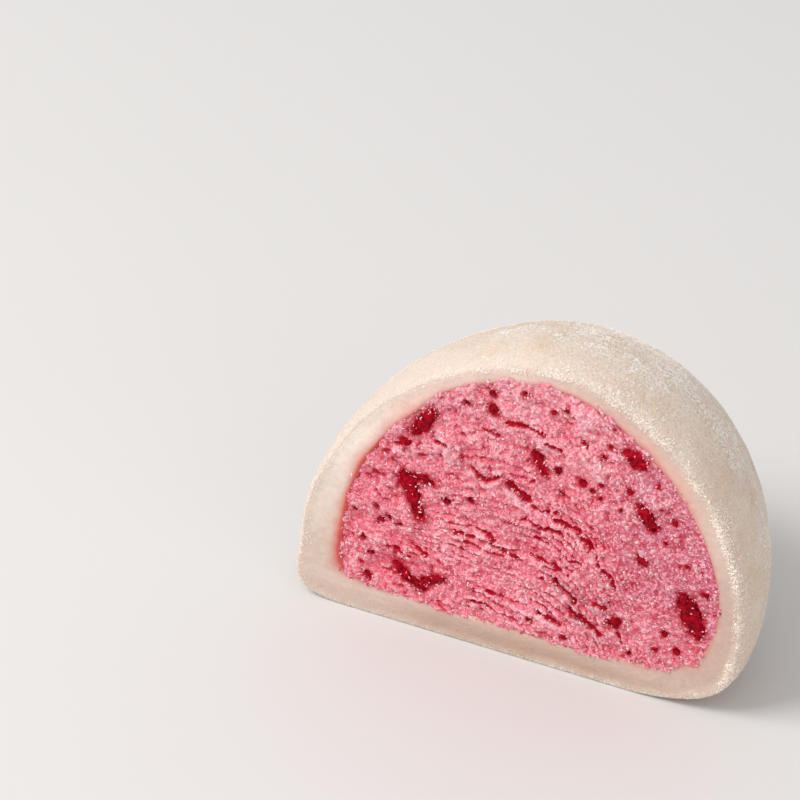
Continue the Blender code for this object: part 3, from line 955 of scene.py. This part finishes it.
class MOCHI_OT_make_filling(bpy.types.Operator):
    """Makes the frozen filling: its cut face with ridges, cracks, grains and sockets, and its round back"""

    bl_idname = "mochi.make_filling"
    bl_label = "Make filling"

    def execute(self, context):
        look = context.scene.mochi_filling
        face, marks = filling_face(look)
        border = grid_border(FACE_CELLS)
        turn = square_to_disc(FACE_CELLS)[0].ravel()[border]
        tilt = QUARTER_TURN * np.linspace(0.96, 0.12, FILLING_BACK_RINGS)[:, None]
        back = placed(CORE.points(turn, tilt))
        pole = placed(CORE.points(0.0, 0.0))[None]
        flat = face.reshape(-1, 3)
        columns = len(border)
        points = np.concatenate((flat, back.reshape(-1, 3), pole))
        number = np.arange(len(flat)).reshape(face.shape[:2])
        a, b, c, d = number[:-1, :-1], number[1:, :-1], number[1:, 1:], number[:-1, 1:]
        front = np.concatenate((np.stack((a, b, c), -1).reshape(-1, 3), np.stack((a, c, d), -1).reshape(-1, 3)))
        first = len(flat) + np.arange(columns)
        following = np.roll(border, -1)
        rim = np.concatenate(
            (
                np.stack((following, border, first), axis=-1),
                np.stack((following, first, np.roll(first, -1)), axis=-1),
            )
        )
        sides = ring_faces(FILLING_BACK_RINGS, columns, first=len(flat))[:, ::-1]
        cap = fan_faces(len(points) - 1, len(points) - 1 - columns + np.arange(columns))
        faces = outward(points, np.concatenate((front, rim, sides, cap)))
        extra = len(points) - len(flat)
        marks = {label: np.concatenate((value.ravel(), np.zeros(extra))) for label, value in marks.items()}
        filling = new_piece("berry_filling", points, faces, filling_material(look), "frozen_filling", **marks)
        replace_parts(filling, "filling")
        return {"FINISHED"}


# ---------------------------------------------------------------------------------------------------------
# Fruit
# ---------------------------------------------------------------------------------------------------------

FRUIT_TURNS = 120
FRUIT_FRONT_RINGS = 36
FRUIT_BACK_RINGS = 8


def berry_points(lobe, look, seed, turns, front_rings, back_rings):
    """A lens of fruit: an ellipse with a ragged outline, carried in by a sine, flat in front and round behind."""
    across, up, long, width, slope = lobe
    turn = 2 * pi * np.arange(turns) / turns
    u, v = 0.5 * long * np.cos(turn), 0.5 * width * np.sin(turn)
    outline = np.stack((u * cos(radians(slope)) - v * sin(radians(slope)), u * sin(radians(slope)) + v * cos(radians(slope))), -1)
    wander = 1 + look.raggedness * (noise(outline + seed, 0.5, seed) + 0.7 * noise(outline + seed, 0.22, seed + 1))
    tilt = np.concatenate((np.linspace(0, 1, front_rings), 1 + np.linspace(0, 1, back_rings + 1)[1:])) * QUARTER_TURN
    tilt = tilt[:, None]
    places = np.array((across, up)) + outline * (wander * np.sin(tilt))[..., None]
    front = tilt <= QUARTER_TURN + 1e-9
    flesh = rough(places, 0.8, seed + 2) + 0.5 * noise(places, 0.25, seed + 4)
    proud = 0.08 * width * np.cos(tilt) + look.lump_height / MM * flesh * ramp(np.cos(tilt), 0, 0.4)
    depth = look.sink / MM + np.where(front, -proud, -FRUIT_DEPTH_PER_WIDTH * width * np.cos(tilt))
    return np.stack((places[..., 0] * MM + FACE_MIDDLE, FACE_Y + depth * MM, places[..., 1] * MM), axis=-1)


class MOCHI_OT_make_fruit(bpy.types.Operator):
    """Makes the seven pieces of fruit in the cut face, and the small bits scattered between them"""

    bl_idname = "mochi.make_fruit"
    bl_label = "Make fruit"

    def execute(self, context):
        look = context.scene.mochi_fruit
        material = fruit_material(look)
        for number, (name, lobes) in enumerate(FRUIT.items()):
            forms = []
            for step, lobe in enumerate(lobes):
                seed = 200 + 20 * number + 6 * step
                rings = berry_points(lobe, look, seed, FRUIT_TURNS, FRUIT_FRONT_RINGS, FRUIT_BACK_RINGS)
                forms.append(closed_rings(rings, {})[:2])
            points, faces = joined(forms)
            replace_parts(new_piece(f"berry_{name}", points, faces, material, "fruit"), name)
        forms = []
        for number, (across, up, size) in enumerate(FRUIT_BITS):
            slope = 57 * number
            lobe = (across, up, 1.15 * size, 0.8 * size, slope)
            rings = berry_points(lobe, look, 400 + 10 * number, 24, 8, 4)
            forms.append(closed_rings(rings, {})[:2])
        points, faces = joined(forms)
        new_piece("berry_bits", points, faces, material, "fruit")
        return {"FINISHED"}


# ---------------------------------------------------------------------------------------------------------
# Ice, starch and crumbs
# ---------------------------------------------------------------------------------------------------------

CRYSTAL_POINTS = np.array(((1, 0, 0), (-1, 0, 0), (0, 1, 0), (0, -1, 0), (0, 0, 1), (0, 0, -1)), dtype=float)
CRYSTAL_FACES = np.array(
    ((0, 2, 4), (2, 1, 4), (1, 3, 4), (3, 0, 4), (2, 0, 5), (1, 2, 5), (3, 1, 5), (0, 3, 5)), dtype=int
)


def random_turns(count, rng):
    """Random rotations: four random numbers scaled to length 1 and read as a quaternion."""
    numbers = rng.normal(size=(count, 4))
    w, x, y, z = np.moveaxis(numbers / np.linalg.norm(numbers, axis=-1, keepdims=True), -1, 0)
    rows = (
        (1 - 2 * (y * y + z * z), 2 * (x * y - z * w), 2 * (x * z + y * w)),
        (2 * (x * y + z * w), 1 - 2 * (x * x + z * z), 2 * (y * z - x * w)),
        (2 * (x * z - y * w), 2 * (y * z + x * w), 1 - 2 * (x * x + y * y)),
    )
    return np.moveaxis(np.array(rows), -1, 0)


def crystals(middles, widths, rng, stretch=1.0):
    """Eight-faced crystals, each with its own three half lengths and its own turn, and longer by the stretch."""
    count = len(middles)
    halves = 0.5 * widths[:, None] * rng.uniform(0.5, 1.1, (count, 3)) * (1, 1, stretch)
    shapes = CRYSTAL_POINTS * halves[:, None, :]
    points = np.einsum("nij,nkj->nki", random_turns(count, rng), shapes) + middles[:, None, :]
    faces = CRYSTAL_FACES + 6 * np.arange(count)[:, None, None]
    return points.reshape(-1, 3), faces.reshape(-1, 3)


def scattered(grid, weights, count, rng):
    """Random places on a grid of points: a cell by its area times its weight, then a place inside it.

    Gives the places and the surface's direction there, which is the cross product of the cell's diagonals.
    """
    a, b, c, d = grid[:-1, :-1], grid[1:, :-1], grid[1:, 1:], grid[:-1, 1:]
    cross = np.cross(c - a, d - b)
    area = 0.5 * np.linalg.norm(cross, axis=-1)
    chance = (area * weights[:-1, :-1]).ravel()
    cell = rng.choice(len(chance), size=count, p=chance / chance.sum())
    u, v = rng.uniform(0, 1, (2, count, 1))
    corners = [corner.reshape(-1, 3)[cell] for corner in (a, b, c, d)]
    places = corners[0] * (1 - u) * (1 - v) + corners[1] * u * (1 - v) + corners[2] * u * v + corners[3] * (1 - u) * v
    direction = cross.reshape(-1, 3)[cell]
    return places, direction / np.maximum(np.linalg.norm(direction, axis=-1, keepdims=True), 1e-12)


def spread_of_widths(width, count, rng):
    """Widths around the usual one: e to a normal number times 0.35, kept under 2.2 times the usual."""
    return width * np.minimum(np.exp(0.35 * rng.normal(size=count)), 2.2)


class MOCHI_OT_make_ice(bpy.types.Operator):
    """Scatters ice crystals over the filling's cut face, more of them on its raised and frosty parts"""

    bl_idname = "mochi.make_ice"
    bl_label = "Make ice"

    def execute(self, context):
        look = context.scene.mochi_grain
        rng = np.random.default_rng(5)
        face, marks = filling_face(context.scene.mochi_filling)
        inside = ramp(-(face[..., 1] - FACE_Y) / MM, -0.5, -0.25)
        weights = (0.5 + 0.5 * marks["frost"]) * (1 - 0.8 * marks["deep"]) * inside
        places, _ = scattered(face, weights, look.ice_count, rng)
        for lobes in FRUIT.values():
            for lobe in lobes:
                rings = berry_points(lobe, context.scene.mochi_fruit, 200, 40, 12, 4)[2:12]
                on_fruit, _ = scattered(rings, np.ones(rings.shape[:2]), int(1.6 * lobe[2] * lobe[3]), rng)
                places = np.concatenate((places, on_fruit - (0, 0.08 * MM, 0)))
        widths = spread_of_widths(look.ice_size, len(places), rng)
        places[:, 1] += 0.12 * widths
        points, faces = crystals(places, widths, rng, stretch=2.2)
        shade = np.repeat(rng.uniform(0, 1, len(places)), 6)
        new_piece("ice_crystals", points, faces, ice_material(look), "frozen_filling", smooth=False, shade=shade)
        return {"FINISHED"}


class MOCHI_OT_make_starch(bpy.types.Operator):
    """Dusts the skin with starch grains, thicker in its patches, and clumps them along the cut edge"""

    bl_idname = "mochi.make_starch"
    bl_label = "Make starch"

    def execute(self, context):
        look = context.scene.mochi_grain
        rng = np.random.default_rng(6)
        skin, margin, wall, gap_mm = dough_surface(context.scene.mochi_dough)
        marks = dough_marks(skin, margin, wall, gap_mm)
        material = starch_material(look)
        powder = marks["powder"][: len(skin)] ** 2 * ramp(skin[..., 2], 0.1 * MM, 0.6 * MM)
        closed = np.concatenate((skin, skin[:, :1]), axis=1)
        powder = np.concatenate((powder, powder[:, :1]), axis=1)
        self.dust("starch_dust", closed, powder, look.starch_count, look.starch_size, material, rng)

        edge = np.concatenate((skin[-7:], margin[:9]))
        edge = np.concatenate((edge, edge[:, :1]), axis=1)
        clumps = ease(0.15 + 1.0 * rough(edge, 1.5 * MM, 107)) + 0.06
        rise = ramp(edge[..., 2], 1.5 * MM, 7 * MM) * (0.12 + 0.88 * ramp(edge[..., 0], -6 * MM, 3 * MM))
        across = np.linspace(-1.0, 1.3, len(edge))[:, None]
        weights = clumps * rise * bell(across, 0.6)
        self.dust("starch_rim", edge, weights, look.rim_count, look.rim_size, material, rng)
        return {"FINISHED"}

    def dust(self, name, grid, weights, count, width, material, rng):
        """One piece of grains that lie a little sunk in a surface."""
        places, direction = scattered(grid, weights, count, rng)
        widths = spread_of_widths(width, count, rng)
        heart = np.array((FACE_MIDDLE, FACE_Y + 6 * MM, SKIN.waist))
        side = np.sign(np.einsum("ij,ij->i", direction, places - heart))[:, None]
        points, faces = crystals(places + direction * side * 0.12 * widths[:, None], widths, rng)
        points[:, 2] = np.maximum(points[:, 2], 0)
        shade = np.repeat(rng.uniform(0, 1, count), 6)
        new_piece(name, points, faces, material, "rice_dough", smooth=False, shade=shade)


class MOCHI_OT_make_crumbs(bpy.types.Operator):
    """Puts crumbs of filling along its border, most of them at the bottom and the lower right"""

    bl_idname = "mochi.make_crumbs"
    bl_label = "Make crumbs"

    def execute(self, context):
        look = context.scene.mochi_grain
        rng = np.random.default_rng(7)
        turn = rng.uniform(0, 2 * pi, look.crumb_count * 4)
        places = face_place(placed(CORE.points(turn, QUARTER_TURN)))
        low = 1 - ramp(places[:, 1], 2.5, 9)
        right = ramp(places[:, 0], -6, 12)
        chance = 0.25 + low * (0.5 + 1.2 * right)
        kept = rng.choice(len(turn), size=look.crumb_count, replace=False, p=chance / chance.sum())
        border = placed(CORE.points(turn[kept], QUARTER_TURN))
        middle = placed(CORE.centre())
        inward = (middle - border) / np.linalg.norm(middle - border, axis=-1, keepdims=True)
        border = border + inward * (inset_mm(border)[:, None] * MM + rng.normal(0.1, 0.2, (len(kept), 1)) * MM)
        widths = spread_of_widths(look.crumb_size, len(kept), rng)
        border[:, 1] += 0.08 * MM
        points, faces = crystals(border, widths, rng)
        zeros = np.zeros(len(points))
        frost = np.repeat(rng.uniform(0, 1, len(kept)), 6)
        new_piece(
            "filling_crumbs",
            points,
            faces,
            bpy.data.materials["frozen_filling_surface"],
            "frozen_filling",
            deep=zeros,
            frost=frost,
            berry=zeros,
            mauve=zeros,
        )
        return {"FINISHED"}


# ---------------------------------------------------------------------------------------------------------
# Stage
# ---------------------------------------------------------------------------------------------------------

KEY_PLACE = Vector((-0.30, -0.24, 0.46))
FILL_PLACE = Vector((0.45, -0.30, 0.22))
CAMERA_PLACE = Vector((0.092, -0.22704, 0.19273))
TARGET = Vector((0, -0.002, 0.014))


def new_light(name, place, power, width, tint):
    """A square soft light that faces the mochi."""
    data = bpy.data.lights.new(name, "AREA")
    data.energy = power
    data.size = width
    data.color = tint
    light = bpy.data.objects.new(name, data)
    light.location = place
    light.rotation_euler = (TARGET - place).to_track_quat("-Z", "Y").to_euler()
    bpy.context.scene.collection.objects.link(light)


class MOCHI_OT_make_stage(bpy.types.Operator):
    """Makes the pale floor, the soft lights and the camera"""

    bl_idname = "mochi.make_stage"
    bl_label = "Make stage"

    def execute(self, context):
        look = context.scene.mochi_stage
        half = 0.5 * look.floor_width
        corners = np.array(((-half, -half, 0), (half, -half, 0), (half, half, 0), (-half, half, 0)))
        corners[:, 2] = -0.02 * MM
        mesh = bpy.data.meshes.new("floor")
        mesh.from_pydata(corners, [], [(0, 1, 2, 3)])
        mesh.materials.append(floor_material(look))
        floor = bpy.data.objects.new("floor", mesh)
        context.scene.collection.objects.link(floor)

        new_light("key_light", KEY_PLACE, look.key_power, 0.3, (1.0, 0.985, 0.965))
        new_light("fill_light", FILL_PLACE, look.fill_power, 0.5, (1.0, 0.97, 0.94))
        world = bpy.data.worlds.new("soft_sky")
        world.use_nodes = True
        sky = world.node_tree.nodes["Background"]
        sky.inputs["Color"].default_value = (0.98, 0.98, 1.0, 1)
        sky.inputs["Strength"].default_value = look.sky
        context.scene.world = world
        context.scene.view_settings.view_transform = "Standard"

        data = bpy.data.cameras.new("camera")
        data.lens = look.focal_length
        camera = bpy.data.objects.new("camera", data)
        camera.location = CAMERA_PLACE
        camera.rotation_euler = Euler((QUARTER_TURN - look.view_tilt, 0, look.view_turn))
        context.scene.collection.objects.link(camera)
        context.scene.camera = camera
        return {"FINISHED"}


# ---------------------------------------------------------------------------------------------------------
# Panel
# ---------------------------------------------------------------------------------------------------------


class MOCHI_PT_panel(bpy.types.Panel):
    """Lists the mochi's pieces and their settings"""

    bl_idname = "MOCHI_PT_panel"
    bl_label = "Mochi half"
    bl_space_type = "VIEW_3D"
    bl_region_type = "UI"
    bl_category = "Mochi"

    def draw(self, context):
        for group, operators in PANEL_ROWS.items():
            box = self.layout.box()
            look = getattr(context.scene, group)
            for label in look.__annotations__:
                box.prop(look, label)
            for operator in operators:
                box.operator(operator.bl_idname)


PANEL_ROWS = {
    "mochi_dough": (MOCHI_OT_make_dough,),
    "mochi_filling": (MOCHI_OT_make_filling,),
    "mochi_fruit": (MOCHI_OT_make_fruit,),
    "mochi_grain": (MOCHI_OT_make_ice, MOCHI_OT_make_starch, MOCHI_OT_make_crumbs),
    "mochi_stage": (MOCHI_OT_make_stage,),
}
SETTINGS = {
    "mochi_dough": MochiDoughSettings,
    "mochi_filling": MochiFillingSettings,
    "mochi_fruit": MochiFruitSettings,
    "mochi_grain": MochiGrainSettings,
    "mochi_stage": MochiStageSettings,
}
OPERATORS = [operator for row in PANEL_ROWS.values() for operator in row]


def register():
    for name, settings in SETTINGS.items():
        bpy.utils.register_class(settings)
        setattr(bpy.types.Scene, name, PointerProperty(type=settings))
    for kind in (*OPERATORS, MOCHI_PT_panel):
        bpy.utils.register_class(kind)


def unregister():
    for kind in (MOCHI_PT_panel, *reversed(OPERATORS)):
        bpy.utils.unregister_class(kind)
    for name, settings in SETTINGS.items():
        delattr(bpy.types.Scene, name)
        bpy.utils.unregister_class(settings)


def main():
    register()
    bpy.ops.mochi.make_dough()
    bpy.ops.mochi.make_filling()
    bpy.ops.mochi.make_fruit()
    bpy.ops.mochi.make_ice()
    bpy.ops.mochi.make_starch()
    bpy.ops.mochi.make_crumbs()
    bpy.ops.mochi.make_stage()


if __name__ == "__main__":
    main()
